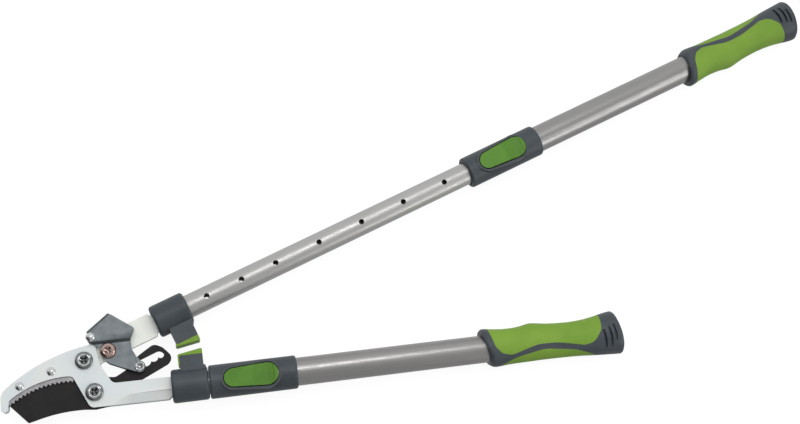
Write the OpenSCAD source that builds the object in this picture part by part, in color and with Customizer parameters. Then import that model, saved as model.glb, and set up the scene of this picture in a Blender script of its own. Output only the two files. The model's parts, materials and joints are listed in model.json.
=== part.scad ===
// Telescopic ratchet lopper with a hooked double jaw, a notched blade tail and sliding handles.
// Lies flat: X runs along the lower handle from the head to the grip, Y points to the upper
// handle, Z points up. The origin is the blade's pivot axis, in the middle of the blade.

/* [Head] */
// Thickness of the blade
blade_t = 3; // [2:0.5:4]
// Thickness of each jaw plate
plate_t = 2.5; // [2:0.5:3.5]
// Thickness of each serrated liner
liner_t = 1.2; // [0.8:0.2:2]
// Diameter of the two pivot bolts
pivot_d = 8; // [6:1:9]
// Diameter of the pivot bolts' heads
pivot_head_d = 12; // [11:0.5:14]
// Diameter of the washers under the pivot bolts
pivot_washer_d = 16; // [15:0.5:18]
// Spacing of the teeth on the jaw liners
tooth_pitch = 4.1; // [3:0.1:6]
// Depth of the teeth on the jaw liners
tooth_depth = 2.2; // [1:0.2:3]
// Diameter of the liner rivets
liner_rivet_d = 4; // [3:0.5:5]
// Radius of the blade's hub
hub_r = 14.5; // [12:0.5:15]

/* [Ratchet] */
// Thickness of the yoke's sheet
yoke_t = 2; // [1.5:0.5:2.5]
// Height of the step pressed into the yoke's cheeks
yoke_step = 1.5; // [1:0.25:2]
// Diameter of the bolt that the yoke turns on
pawl_bolt_d = 6; // [5:0.5:7]
// Diameter of that bolt's domed head
pawl_head_d = 14; // [12:0.5:15]
// Diameter of the ratchet pin
ratchet_pin_d = 4.5; // [4:0.25:4.5]

/* [Handles] */
// Outer diameter of the inner tubes
inner_tube_d = 22.8; // [22.4:0.2:24]
// Wall of the inner tubes
inner_wall = 1.5; // [1:0.25:2]
// Wall of the outer tubes
outer_wall = 1.8; // [1.5:0.1:2]
// Free space between inner and outer tube, on each side
tube_gap = 0.4; // [0.3:0.1:0.6]
// Angle between the two handles
handle_angle = 19.86; // [18:0.02:23]
// Length of a bumper collar
bumper_len = 34.9; // [33:0.1:38]
// Wall of a bumper collar
bumper_wall = 4.6; // [3.5:0.1:5]
// Length of a lock collar
collar_len = 84; // [80:1:90]
// Wall of a lock collar, over the outer tube
collar_wall = 2.5; // [2.2:0.1:4]
// Outer tube in sight between lock collar and grip
tube_in_sight = 187; // [170:1:220]
// Length of a grip without its domed end
grip_len = 136; // [125:1:150]
// Height of the domed end
dome_h = 4.5; // [3:0.5:8]
// Diameter of the holes for the lock pin
lock_hole_d = 5.4; // [5:0.2:6]
// Spacing of the two holes next to the first one
hole_step_short = 37; // [34:0.5:40]
// Number of short spacings
short_steps = 2; // [1:1:2]
// Spacing of the other holes
hole_step_long = 47.4; // [44:0.2:50]
// Number of long spacings
long_steps = 5; // [4:1:5]

/* [Lock buttons] */
// Length of a rocker button
button_len = 52.6; // [50:0.2:56]
// Radius of the button's narrow end
button_r0 = 9.1; // [8:0.1:10]
// Radius of the button's wide end
button_r1 = 11.2; // [10:0.1:11.8]
// Diameter of a lock pin
lock_pin_d = 4.4; // [4:0.2:4.6]
// Diameter of the pin that the rocker turns on
rocker_pin_d = 2.5; // [2:0.25:3]

/* [Hidden] */
$fn = 64;

// Clearances: beside the blade and arm, in a running bore, and beside the yoke.
side_gap = 0.15;
bore_gap = 0.05;
yoke_gap = 0.25;

// Levels above the middle plane.
blade_z = blade_t / 2;
liner_z = blade_z + side_gap;
plate_z = liner_z + liner_t;
plate_top = plate_z + plate_t;
arm_z = plate_z - side_gap;
yoke_z = plate_top + yoke_gap;
yoke_top = yoke_z + yoke_t;
raised_top = yoke_top + yoke_step;
washer_t = 1.4;

// Places in the head: the arm's pivot, the yoke's pivot and the ratchet pin in the last notch.
arm_pivot = [-7.5, 30.6];
pawl_pivot = [15.3, 37.2];
pin_place = [43.4, 19.2];
yoke_rivet_place = [0.2, 51.8];
yoke_rivet_d = 4;
liner_rivet_places = [[-38.2, 23.6], [-67.3, 12.9]];
slot_angle = 20.5;

// The handles' axes: the lower one nearly runs along X, the upper one is turned further by
// handle_angle.
lower_tilt = 0.476;
lower_axis_y = -3.32;
upper_turn = lower_tilt + handle_angle;
upper_axis_offset = 4.2;
upper_origin = arm_pivot + upper_axis_offset * [-sin(upper_turn), cos(upper_turn)];
lower_x = 71.3;
upper_x = 73.9;
lower_reach = 27.4;
upper_reach = 29.6;
collar_gap = 0.6;
tube_inset = 2;
outer_tube_d = inner_tube_d + 2 * (tube_gap + outer_wall);
inner_tube_bore = inner_tube_d - 2 * inner_wall;
outer_tube_bore = outer_tube_d - 2 * outer_wall;
bumper_r = inner_tube_d / 2 + bumper_wall;
collar_r = outer_tube_d / 2 + collar_wall;
telescope_travel = short_steps * hole_step_short + long_steps * hole_step_long;

// Places along a lock collar, from its end at the head's side.
lock_pin_at = 19.4;
rocker_at = 42;
tube_seat_at = 27;
button_start = 13.2;
button_margin = 0.4;
bezel_w = 2.5;
collar_edge = 2.2;
rocker_z = collar_r - 1;
button_end = button_start + button_len;

// Points of an arc round c, and of the circle through three points.
function arc(c, r, a0, a1, n = 12) =
  [for (i = [0:n]) c + r * [cos(a0 + (a1 - a0) * i / n), sin(a0 + (a1 - a0) * i / n)]];
function unit(v) = v / norm(v);
function angle_of(v) = atan2(v[1], v[0]);
function wrap(a) = a > 180 ? a - 360 : a < -180 ? a + 360 : a;
function middle_of_circle(p, q, r) =
  let (b = q - p, c = r - p, d = 2 * (b[0] * c[1] - b[1] * c[0]))
  p + [c[1] * (b * b) - b[1] * (c * c), b[0] * (c * c) - c[0] * (b * b)] / d;
function arc_through(p, q, r, n = 16) =
  let (m = middle_of_circle(p, q, r), a0 = angle_of(p - m), a1 = angle_of(r - m))
  arc(m, norm(p - m), a0, a0 + wrap(a1 - a0), n);
// A corner of an outline, rounded with radius r.
function corner(a, b, c, r, n = 6) =
  let (u = unit(a - b), v = unit(c - b), half = acos(u * v) / 2, m = b + unit(u + v) * r / sin(half),
       s = angle_of(b + u * r / tan(half) - m), e = angle_of(b + v * r / tan(half) - m))
  arc(m, r, s, s + wrap(e - s), n);
// An outline of [x, y, radius] points with every corner rounded.
function rounded(p) =
  [for (i = [0:len(p) - 1])
    let (a = p[(i + len(p) - 1) % len(p)], b = p[i], c = p[(i + 1) % len(p)])
    each (b[2] > 0 ? corner([a[0], a[1]], [b[0], b[1]], [c[0], c[1]], b[2]) : [[b[0], b[1]]])];
// A slot that widens from radius r0 at x0 to radius r1 at x1.
function wide_slot(x0, r0, x1, r1) =
  let (t = acos((r0 - r1) / (x1 - x0)))
  concat(arc([x0, 0], r0, t, 360 - t, 24), arc([x1, 0], r1, -t, t, 24));
// A smooth curve through [place, value] stations.
function slope(t, i) =
  let (a = max(i - 1, 0), b = min(i + 1, len(t) - 1)) (t[b][1] - t[a][1]) / (t[b][0] - t[a][0]);
function station(t, x, i = 0) = i >= len(t) - 2 || x <= t[i + 1][0] ? i : station(t, x, i + 1);
function smooth(t, x) =
  let (i = station(t, x), w = t[i + 1][0] - t[i][0], s = min(max((x - t[i][0]) / w, 0), 1))
  t[i][1] * (1 - s) * (1 - s) * (1 + 2 * s) + t[i + 1][1] * s * s * (3 - 2 * s)
  + w * slope(t, i) * s * (1 - s) * (1 - s) - w * slope(t, i + 1) * s * s * (1 - s);

// A point of the lower handle, given along its axis and beside it.
function on_lower(x, y) =
  [x * cos(lower_tilt) - y * sin(lower_tilt), lower_axis_y + x * sin(lower_tilt) + y * cos(lower_tilt)];

// Solids between two levels, the same mirrored below, and a round shape laid along X.
module slab(z0, z1) {
  translate([0, 0, z0]) linear_extrude(z1 - z0) children();
}
module along_x(x = 0) {
  translate([x, 0, 0]) rotate([0, 90, 0]) rotate([0, 0, 90]) children();
}
module tube(x0, x1, d_out, d_in) {
  along_x(x0) difference() {
    cylinder(d = d_out, h = x1 - x0);
    translate([0, 0, -1]) cylinder(d = d_in, h = x1 - x0 + 2);
  }
}
// A ring along X with rounded outer edges.
module lipped_ring(x0, x1, r_in, r_out, edge) {
  along_x(x0) rotate_extrude() polygon(rounded([
    [r_in, 0, 0], [r_out, 0, edge], [r_out, x1 - x0, edge], [r_in, x1 - x0, 0]]));
}
// A closed skin over rings of points that all have the same number of points.
module loft(rings) {
  m = len(rings[0]);
  last = len(rings) - 1;
  sides = [for (i = [0:last - 1], j = [0:m - 1]) each [
    [i * m + j, (i + 1) * m + j, i * m + (j + 1) % m],
    [i * m + (j + 1) % m, (i + 1) * m + j, (i + 1) * m + (j + 1) % m]]];
  caps = [for (j = [1:m - 2]) each [[0, j, j + 1], [last * m, last * m + j + 1, last * m + j]]];
  polyhedron(points = [for (r = rings) each r], faces = concat(sides, caps), convexity = 6);
}
// An unbroken round wire: turns that clear radius r_in and climb by pitch, round a Z axis.
module coil(r_in, wire_d, pitch, turns, steps = 10, sides = 6) {
  r = (r_in + wire_d / 2) / cos(180 / steps);
  n = ceil(turns * steps);
  loft([for (i = [0:n])
    let (a = 360 * turns * i / n, c = [r * cos(a), r * sin(a), pitch * turns * i / n])
    [for (j = [0:sides - 1])
      let (b = -360 * j / sides)
      c + wire_d / 2 * [cos(b) * cos(a), cos(b) * sin(a), sin(b)]]]);
}
// A domed head that stands on level z, with a cross recess.
module domed_head(d, h, z, recess = true) {
  ball = (d * d / 4 + h * h) / (2 * h);
  translate([0, 0, z]) difference() {
    rotate_extrude() polygon(concat([[0, 0]], [for (i = [0:12])
      let (a = asin(d / 2 / ball) * (1 - i / 12)) [ball * sin(a), ball * cos(a) - ball + h]]));
    if (recess) for (a = [45, 135]) rotate(a) translate([-d / 3.8, -d / 13, h * 0.25])
      cube([d / 1.9, d / 6.5, h]);
  }
}
module hex_nut(d, across, h, z) {
  translate([0, 0, z]) difference() {
    cylinder(d = across / cos(30), h = h, $fn = 6);
    translate([0, 0, -1]) cylinder(d = d, h = h + 2);
  }
}
module ring(d_out, d_in, z0, z1) {
  slab(z0, z1) difference() {
    circle(d = d_out);
    circle(d = d_in);
  }
}

// Jaw plates

jaw_outer = arc_through([-81.6, 11], [-40.5, 34.9], [-1, 45.2], 20);
jaw_inner = arc_through([-75.6, 2.2], [-50.5, 14.0], [-22.8, 17.4], 16);
tang_half = 8;
tang_end = 104;
module jaw_outline() {
  difference() {
    polygon(concat(
      arc([-82, -6.6], 3.3, 180, 360, 12),
      arc([-76.7, -0.6], 1.2, 180, 110, 4),
      jaw_inner,
      arc([-21.4, 13.6], 3.4, 85, 30, 5),
      arc([-0.1, -7.4], 7, 205, 258, 6),
      [[9, -14.3], [68.4, -14.6], on_lower(72.5, -tang_half), on_lower(tang_end, -tang_half),
       on_lower(tang_end, tang_half), on_lower(74, tang_half)],
      rounded([[71, 6.5, 0], [17.2, 6.6, 6], [7.4, 24.4, 8], [3.4, 45, 1.5], [0, 45.3, 0]]),
      [for (i = [20:-1:0]) jaw_outer[i]],
      arc([-74.6, 2.5], 10.7, 140, 175, 5)));
    for (p = liner_rivet_places) translate(p) circle(d = liner_rivet_d + 2 * bore_gap);
    for (p = [[0, 0], arm_pivot]) translate(p) circle(d = pivot_d + 2 * bore_gap);
    for (x = tang_pin_x) translate(on_lower(x, 0)) circle(d = tang_pin_d + 2 * bore_gap);
  }
}
tang_pin_d = 4;
tang_pin_x = [84, 97];
// The pressed crease that stiffens the jaw's arm: steep below, sloping off above, and rising
// out of the plate from crease_x on.
crease_x = 30;
crease_y = -5.7;
crease_h = 1;
crease_w = 8;
module arm_crease() {
  reach = lower_x + tube_inset - 1 - crease_x;
  translate([crease_x, crease_y, plate_top]) rotate([0, -atan(crease_h / reach), 0]) rotate([90, 0, 90])
    linear_extrude(reach)
      polygon([[0, -1.6], [0.5, -0.05], [crease_w, -crease_h], [crease_w, -1.6]]);
}
module jaw_plate() {
  slab(plate_z, plate_top) jaw_outline();
  arm_crease();
}
module jaw_front() {
  color("gainsboro") jaw_plate();
}
module jaw_rear() {
  color("gainsboro") mirror([0, 0, 1]) jaw_plate();
}

// The liners: thin plates under the jaw plates whose teeth look out along the jaw's inner edge.
tooth_line = [[-76.6, -4.2], [-50, 8.6], [-19.6, 11.6]];
module liner_outline() {
  m = middle_of_circle(tooth_line[0], tooth_line[1], tooth_line[2]);
  r = norm(tooth_line[0] - m);
  a0 = angle_of(tooth_line[0] - m);
  sweep = wrap(angle_of(tooth_line[2] - m) - a0);
  n = round(abs(sweep) * PI * r / 180 / tooth_pitch);
  teeth = [for (i = [0:n - 1]) each [
    m + r * [cos(a0 + sweep * i / n), sin(a0 + sweep * i / n)],
    m + (r + tooth_depth) * [cos(a0 + sweep * (i + 0.5) / n), sin(a0 + sweep * (i + 0.5) / n)]]];
  back = arc_through([-78.5, 8.6], [-40.5, 31.5], [-19, 38.2], 16);
  difference() {
    polygon(concat(teeth, [tooth_line[2], [-18.6, 13.5]], [for (i = [16:-1:0]) back[i]], [[-78.9, -1.5]]));
    for (p = liner_rivet_places) translate(p) circle(d = liner_rivet_d + 2 * bore_gap);
  }
}
module jaw_liners() {
  color("darkgray") for (s = [0, 1]) mirror([0, 0, s]) slab(liner_z, plate_z) liner_outline();
}
module liner_rivets() {
  color("silver") for (p = liner_rivet_places) translate(p) {
    slab(-plate_top, plate_top) circle(d = liner_rivet_d);
    for (s = [0, 1]) mirror([0, 0, s])
      domed_head(2.1 * liner_rivet_d, 0.55 * liner_rivet_d, plate_top, false);
  }
}
// The filler between the jaw plates' arms, which runs into the tube with them.
module jaw_spacer() {
  color("gray") slab(-plate_z, plate_z) difference() {
    polygon([[56, 3.5], [56, -12], [70.5, -12], on_lower(72.5, -tang_half), on_lower(tang_end, -tang_half),
      on_lower(tang_end, tang_half), on_lower(74, tang_half), [71, 6.3], [58.8, 6.3]]);
    for (x = tang_pin_x) translate(on_lower(x, 0)) circle(d = tang_pin_d + 2 * bore_gap);
  }
}

// Pivot fasteners

pivot_head_h = 3.2;
pivot_nut_h = 5;
module at_pivots() {
  for (p = [[0, 0], arm_pivot]) translate(p) children();
}
module pivot_bolts() {
  color("silver") at_pivots() {
    slab(-plate_top - washer_t - pivot_nut_h - 1, plate_top + washer_t) circle(d = pivot_d);
    domed_head(pivot_head_d, pivot_head_h, plate_top + washer_t);
  }
}
module pivot_washers() {
  color("dimgray") at_pivots() for (s = [0, 1]) mirror([0, 0, s])
    ring(pivot_washer_d, pivot_d + 2 * bore_gap, plate_top, plate_top + washer_t);
}
module pivot_nuts() {
  color("silver") at_pivots()
    hex_nut(pivot_d + 2 * bore_gap, 1.6 * pivot_d, pivot_nut_h, -plate_top - washer_t - pivot_nut_h);
}
module hub_washers() {
  color("gray") for (s = [0, 1]) mirror([0, 0, s])
    ring(2.5 * pivot_d, pivot_d + 2 * bore_gap, liner_z - side_gap / 2, plate_z);
}

// The blade

cutting_edge = arc_through([-79, -2.6], [-52, 11.6], [-14, 14.2], 20);
// The slot's outline, along it and across it from the pin in the last notch: its top and ends,
// the notches' floors, and the crests between them.
slot_ends = [[-5.9, -1.2], [-5.6, 3.4], [-4.2, 5.4], [-2, 6.1], [20.6, 6.2], [22.4, 5.7], [24.1, 4.1],
  [25.1, 2.2]];
notch_floors = [[-2.2, -3.9], [7.4, -2.2], [14.9, -1.5], [22.4, -1.1]];
notch_crests = [[4.2, -1.5], [11.7, 0.15], [19.2, 0.6], [25.3, 0.8]];
crest_half = 0.3;
function notch(start, floor, end) =
  let (p = arc_through(start - [crest_half, 0], floor, end + [crest_half, 0], 9))
  [for (i = [0:8]) p[i]];
slot_points = concat(slot_ends,
  [for (k = [3:-1:1]) each concat(notch(notch_crests[k], notch_floors[k], notch_crests[k - 1]),
    [notch_crests[k - 1] + [crest_half, 0]])],
  notch(notch_crests[0], notch_floors[0], slot_ends[0] - [crest_half, 0]));
module blade_outline() {
  difference() {
    union() {
      circle(r = hub_r);
      polygon(concat(
        arc([-61.3, -19.9], 1.4, 225, 290, 4),
        arc_through([-50.8, -18.7], [-33.2, -15.6], [-10, -14.9], 8),
        [[0, -16], [12, -14.5]],
        rounded([[26, -5, 0], [45, 7.5, 0], [69.6, 19, 7.5], [75.5, 25.1, 6.5], [65.8, 35.9, 9],
                 [57.7, 39.9, 7], [42.5, 30.3, 12], [30.2, 18, 14], [19.8, 12.4, 6], [12, 13.5, 0]]),
        [[0, hub_r]],
        [for (i = [20:-1:0]) cutting_edge[i]]));
    }
    circle(d = pivot_d + 2 * bore_gap);
    translate(pin_place) rotate(slot_angle) polygon(slot_points);
  }
}
// The two grinds that bring the blade down to its cutting edge.
module edge_grind() {
  m = middle_of_circle(cutting_edge[0], cutting_edge[10], cutting_edge[20]);
  r = norm(cutting_edge[0] - m);
  translate(m) rotate_extrude(angle = 150, start = 40)
    polygon([[r - 6, blade_z], [r + 1, 0.25], [r + 1, blade_z + 1], [r - 6, blade_z + 1]]);
}
module blade() {
  color("#2b2a2a") difference() {
    slab(-blade_z, blade_z) blade_outline();
    for (s = [0, 1]) mirror([0, 0, s]) edge_grind();
  }
}

// The upper arm, drawn along its own handle's axis with the inner side down.
module at_upper() {
  translate(upper_origin) rotate(upper_turn) children();
}
function to_upper(p) =
  let (v = p - upper_origin)
  [v[0] * cos(upper_turn) + v[1] * sin(upper_turn), v[1] * cos(upper_turn) - v[0] * sin(upper_turn)];
arm_eye_r = 8.9;
arm_low = -upper_axis_offset - arm_eye_r;
arm_high = 10.7;
arm_tang = [-8.6, 7.8];
module arm_outline() {
  eye = [0, -upper_axis_offset];
  difference() {
    polygon(concat(arc(eye, arm_eye_r, 107, 270, 24), [[70.9, arm_low], [74, arm_tang[0]],
      [tang_end, arm_tang[0]], [tang_end, arm_tang[1]], [73.3, arm_tang[1]], [70.5, arm_high],
      [20, arm_high]]));
    translate(eye) circle(d = pivot_d + 2 * bore_gap);
    translate(to_upper(pawl_pivot)) circle(d = pawl_bolt_d + 2 * bore_gap);
    for (x = tang_pin_x) translate([x, 0]) circle(d = tang_pin_d + 2 * bore_gap);
  }
}
module upper_arm() {
  color("gainsboro") at_upper() slab(-arm_z, arm_z) arm_outline();
}

// The yoke: one bent sheet with two stepped cheeks, joined by a web along its back.
web_line = [[-3.7, 57.1], [17.7, 73.4]];
step_y = 44.1;
ramp_w = 3;
module cheek_outline() {
  difference() {
    union() {
      polygon(rounded([
        [17.7, 73.4, 1.5], [-3.7, 57.1, 1.5], [-2.6, 47, 2], [3.6, 43.6, 1.5], [8.8, 40, 3],
        [8.9, 31, 5], [15, 25.8, 5], [30, 19, 8], [39.2, 14.9, 2], [47.5, 21.5, 2],
        [41.3, 28.6, 8], [37, 37, 12], [36.8, 46, 8], [41.5, 56, 2.5]]));
      translate(yoke_rivet_place) circle(r = 4.5);
      translate(pin_place) circle(r = 5.3);
    }
    translate(yoke_rivet_place) circle(d = yoke_rivet_d + 2 * bore_gap);
    translate(pawl_pivot) circle(d = pawl_bolt_d + 2 * bore_gap);
    translate(pin_place) circle(d = ratchet_pin_d + 2 * bore_gap);
  }
}
module band(y0, y1) {
  translate([-30, y0]) square([110, y1 - y0]);
}
web_bend = 2.6;
// Everything on the front side of the web's line, as a flat shape.
module inside_web(inset) {
  d = unit(web_line[1] - web_line[0]);
  translate(web_line[0]) rotate(angle_of(d)) translate([-30, -100]) square([100, 100 - inset]);
}
module cheek() {
  slab(yoke_z, yoke_top) intersection() {
    cheek_outline();
    band(0, step_y);
  }
  slab(yoke_z + yoke_step, raised_top) intersection() {
    cheek_outline();
    band(step_y + ramp_w, 90);
    inside_web(web_bend);
  }
  intersection() {
    slab(yoke_z, raised_top) cheek_outline();
    translate([-30, step_y, yoke_z]) rotate([90, 0, 90]) linear_extrude(110)
      polygon([[0, 0], [ramp_w, yoke_step], [ramp_w, yoke_step + yoke_t], [0, yoke_t]]);
  }
}
module web() {
  d = web_line[1] - web_line[0];
  lower_z = raised_top - yoke_t;
  intersection() {
    translate(web_line[0]) rotate(angle_of(d)) rotate([90, 0, 90]) linear_extrude(norm(d)) difference() {
      polygon(rounded([[0, -raised_top, web_bend], [0, raised_top, web_bend],
        [-web_bend, raised_top, 0], [-web_bend, -raised_top, 0]]));
      translate([-web_bend - 1, 0]) polygon(rounded([
        [0, -lower_z, 0], [web_bend + 1 - yoke_t, -lower_z, 0.5],
        [web_bend + 1 - yoke_t, lower_z, 0.5], [0, lower_z, 0]]));
    }
    slab(-raised_top, raised_top) cheek_outline();
  }
}
module yoke() {
  color("#7d8286") {
    cheek();
    mirror([0, 0, 1]) cheek();
    web();
  }
}
module yoke_rivet() {
  color("silver") translate(yoke_rivet_place) {
    slab(-raised_top, raised_top) circle(d = yoke_rivet_d);
    for (s = [0, 1]) mirror([0, 0, s]) domed_head(8.6, 2.2, raised_top, false);
  }
}
module ratchet_pin() {
  color("silver") translate(pin_place) {
    slab(-yoke_top, yoke_top) circle(d = ratchet_pin_d);
    for (s = [0, 1]) mirror([0, 0, s]) domed_head(2 * ratchet_pin_d, 2.4, yoke_top, s == 0);
  }
}
module ratchet_spacers() {
  color("gray") translate(pin_place) for (s = [0, 1]) mirror([0, 0, s])
    ring(1.8 * ratchet_pin_d, ratchet_pin_d + 2 * bore_gap, liner_z, yoke_z);
}
pawl_nut_h = 4.5;
pawl_spacer_d = pawl_bolt_d + 3;
module pawl_bolt() {
  color("#a8684a") translate(pawl_pivot) {
    slab(-yoke_top - pawl_nut_h - 0.8, yoke_top) circle(d = pawl_bolt_d);
    domed_head(pawl_head_d, 3.6, yoke_top);
  }
}
module pawl_spacers() {
  color("gray") translate(pawl_pivot) for (s = [0, 1]) mirror([0, 0, s])
    ring(pawl_spacer_d, pawl_bolt_d + 2 * bore_gap, arm_z, yoke_z - bore_gap);
}
module pawl_nut() {
  color("silver") translate(pawl_pivot)
    hex_nut(pawl_bolt_d + 2 * bore_gap, 1.65 * pawl_bolt_d, pawl_nut_h, -yoke_top - pawl_nut_h);
}
spring_wire = 0.8;
spring_gap = 0.45;
module yoke_spring() {
  color("dimgray") translate([pawl_pivot[0], pawl_pivot[1], -yoke_z + spring_wire / 2 + 0.1])
    coil(pawl_spacer_d / 2 + 0.15, spring_wire, spring_wire + spring_gap, 1.4);
}

// Handles, each along its own axis with its inner side at +Y.
module at_lower() {
  translate([0, lower_axis_y, 0]) rotate(lower_tilt) children();
}
module at_upper_inner() {
  at_upper() mirror([0, 1, 0]) children();
}
function inner_start(b) = b + tube_inset;
function collar_start(b) = b + bumper_len + collar_gap;
function first_hole(b) = collar_start(b) + lock_pin_at;
function grip_start(b) = collar_start(b) + collar_len + tube_in_sight;
inner_back = 30;
function inner_end(b) = grip_start(b) + grip_len - inner_back;
bush_flange = 9;
bush_plug = 12;

module tang_wedges(b, half_z) {
  x0 = inner_start(b);
  for (s = [0, 1]) mirror([0, 0, s]) difference() {
    along_x(x0) cylinder(d = inner_tube_bore - 2 * bore_gap, h = tang_end - x0);
    translate([x0 - 1, -20, -30]) cube([tang_end, 40, 30 + half_z + bore_gap]);
    for (x = tang_pin_x) translate([x, 0, 0]) cylinder(d = tang_pin_d + 2 * bore_gap, h = 20);
  }
}
module tang_pins() {
  for (x = tang_pin_x) translate([x, 0, 0]) intersection() {
    cylinder(d = tang_pin_d, h = inner_tube_d, center = true);
    along_x(-5) cylinder(d = inner_tube_d - 0.1, h = 10);
  }
}
module inner_tube(b) {
  difference() {
    tube(inner_start(b), inner_end(b), inner_tube_d, inner_tube_bore);
    for (x = tang_pin_x) translate([x, 0, -20]) cylinder(d = tang_pin_d + 2 * bore_gap, h = 40);
    for (i = [0:short_steps + long_steps]) {
      s = i <= short_steps ? i * hole_step_short
        : short_steps * hole_step_short + (i - short_steps) * hole_step_long;
      translate([first_hole(b) + s, 0, -20]) cylinder(d = lock_hole_d, h = 40);
    }
  }
}
bumper_edge = 2.8;
block_from = 9.6;
block_to = 31.6;
block_z = 9.5;
pad_thin = 1.72;
module bumper(b, reach) {
  difference() {
    union() {
      lipped_ring(b, b + bumper_len, inner_tube_d / 2 + 1, bumper_r, bumper_edge);
      slab(-block_z, block_z) translate([b, 0]) polygon(rounded([
        [block_from, 8, 0], [bumper_len - 1.2, 8, 0], [bumper_len - 1.2, bumper_r + 0.2, 1],
        [block_to, bumper_r + 1, 1.2], [block_to, reach, 0.8], [block_from, reach, 0.8]]));
    }
    along_x(b - 1) cylinder(d = inner_tube_d + 2 * bore_gap, h = bumper_len + 2);
  }
}
// The soft pad on a bumper block: a wedge with a lip of length lip_len down the block's head side.
module buffer(b, reach, lip_len) {
  lip = 1.4;
  pad_thick = pad_thin + (block_to - block_from) * tan(handle_angle / 2);
  slab(-block_z, block_z) translate([b, 0]) polygon(rounded([
    [block_from - lip, reach - lip_len, 0.5], [block_from, reach - lip_len - 1.2, 0],
    [block_from, reach, 0.8],
    [block_to, reach, 0], [block_to, reach + pad_thick, 1.4],
    [block_from - lip, reach + pad_thin - 0.2, 1.2]]));
}
module bush(b) {
  along_x(inner_end(b)) {
    cylinder(d = outer_tube_bore - 2 * bore_gap, h = bush_flange);
    translate([0, 0, -bush_plug]) cylinder(d = inner_tube_bore - 2 * bore_gap, h = bush_plug);
  }
}

// The sliding part of a handle; shift is how far it is drawn out.
module outer_tube(b) {
  tube(collar_start(b) + tube_seat_at, grip_start(b) + grip_len - plug_back, outer_tube_d, outer_tube_bore);
}
module lock_collar(b) {
  c = collar_start(b);
  difference() {
    union() {
      lipped_ring(c, c + collar_len, inner_tube_d / 2 + 1, collar_r, collar_edge);
      slab(6, collar_r + 0.6) translate([c, 0])
        polygon(wide_slot(button_start + button_r0, button_r0 + bezel_w, button_end - button_r1,
          button_r1 + bezel_w));
    }
    along_x(c - 1) cylinder(d = inner_tube_d + 2 * 0.06, h = collar_len + 2);
    along_x(c + tube_seat_at) cylinder(d = outer_tube_d + 2 * bore_gap, h = collar_len);
    slab(outer_tube_d / 2 - 1, collar_r + 5) translate([c, 0])
      polygon(wide_slot(button_start + button_r0, button_r0 + button_margin,
        button_end - button_r1, button_r1 + button_margin));
    translate([c + lock_pin_at, 0, 0]) cylinder(d = lock_hole_d, h = 30);
    translate([c + rocker_at, -button_r1 - 1.6, rocker_z]) rotate([-90, 0, 0])
      cylinder(d = rocker_pin_d, h = 2 * button_r1 + 3.2);
  }
}
module rocker_pin(b) {
  translate([collar_start(b) + rocker_at, -button_r1 - 1.6, rocker_z]) rotate([-90, 0, 0])
    cylinder(d = rocker_pin_d, h = 2 * button_r1 + 3.2);
}
// The hollow of the button's wide end, from the end to the middle, with ribs across it.
rib_count = 9;
rib_h = 0.45;
function button_ribs(r0) =
  let (p = arc_through([button_end - 3, r0 + 5.3], [rocker_at + 11, r0 + 3.8], [rocker_at + 1, r0 + 4.8],
         2 * rib_count))
  [for (i = [0:2 * rib_count]) p[i] + [0, i % 2 * rib_h]];
module button(b) {
  c = collar_start(b);
  r0 = outer_tube_d / 2;
  difference() {
    intersection() {
      slab(0, 60) translate([c, 0])
        polygon(wide_slot(button_start + button_r0, button_r0, button_end - button_r1, button_r1));
      translate([c, 30, 0]) rotate([90, 0, 0]) linear_extrude(60) polygon(concat(
        [[button_start - 1, r0 + 1.9], [rocker_at - 3, r0 + 0.3], [button_end + 1, r0 + 0.3],
         [button_end + 1, r0 + 4.2], [button_end - 2, r0 + 5.3]],
        button_ribs(r0),
        arc_through([rocker_at - 1, r0 + 4.9], [rocker_at - 14, r0 + 4.6],
          [button_start - 1, r0 + 3.4], 8)));
    }
    translate([c + rocker_at, -20, rocker_z]) rotate([-90, 0, 0])
      cylinder(d = rocker_pin_d + 2 * bore_gap, h = 40);
    translate([c + lock_pin_at, 0, 0]) cylinder(d = lock_pin_seat_d, h = r0 + 2.6);
  }
}
lock_pin_seat_d = 3;
pin_lift = 0.15;
module lock_pin(b) {
  c = collar_start(b);
  translate([c + lock_pin_at, 0, 0]) {
    slab(outer_tube_d / 2 + 0.5, outer_tube_d / 2 + 2.6) circle(d = lock_pin_seat_d);
    slab(inner_tube_d / 2 + pin_lift, outer_tube_d / 2 + 0.5) circle(d = lock_pin_d);
  }
}
plug_len = 10;
module tube_plug(b) {
  along_x(grip_start(b) + grip_len - plug_back - plug_len)
    cylinder(d = outer_tube_bore - 2 * bore_gap, h = plug_len);
}

// Grips: how far the skin stands over the tube at places from the rim to the end, on the inner
// side, on the outer side and towards the front.
grip_inner = [[0, 4], [2.2, 5.9], [3.8, 6.3], [6.5, 6.1], [10, 5.4], [14, 4.9], [18, 4.35], [23, 4],
  [29, 3.9], [35, 4.3], [40, 5], [44, 5.9], [47, 6.4], [49.5, 6.6], [52, 6.4], [56, 5.75], [60, 5.15],
  [65, 4.4], [72, 3.8], [84, 3.2], [93, 3.4], [101, 3.85], [109, 4.8], [117, 6.1], [125, 7.7],
  [131, 8.7], [136, 9.2]];
grip_outer = [[0, 2.6], [1.7, 4], [4.2, 5.2], [6.5, 5.5], [9.5, 5.4], [14, 5.1], [18.4, 4.7], [26, 4.4],
  [36, 4.25], [48, 4.1], [60, 4], [74, 4.1], [88, 4.4], [96, 4.75], [104, 5.3], [112, 6], [120, 6.5],
  [128, 7], [136, 7.4]];
grip_front = [[0, 3.4], [2.5, 4.8], [6, 4.4], [14, 3.8], [46, 3.6], [92, 3.5], [112, 4.4],
  [130, 6.8], [136, 6.6]];
// How much the section leans along the grip: the rim reaches further on its inner side, and the end
// on its outer side.
grip_lean = [[0, -0.21], [6, -0.18], [20, -0.1], [45, 0], [105, 0], [136, -0.12]];
grip_table_len = 136;
panel_t = 1;
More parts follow.
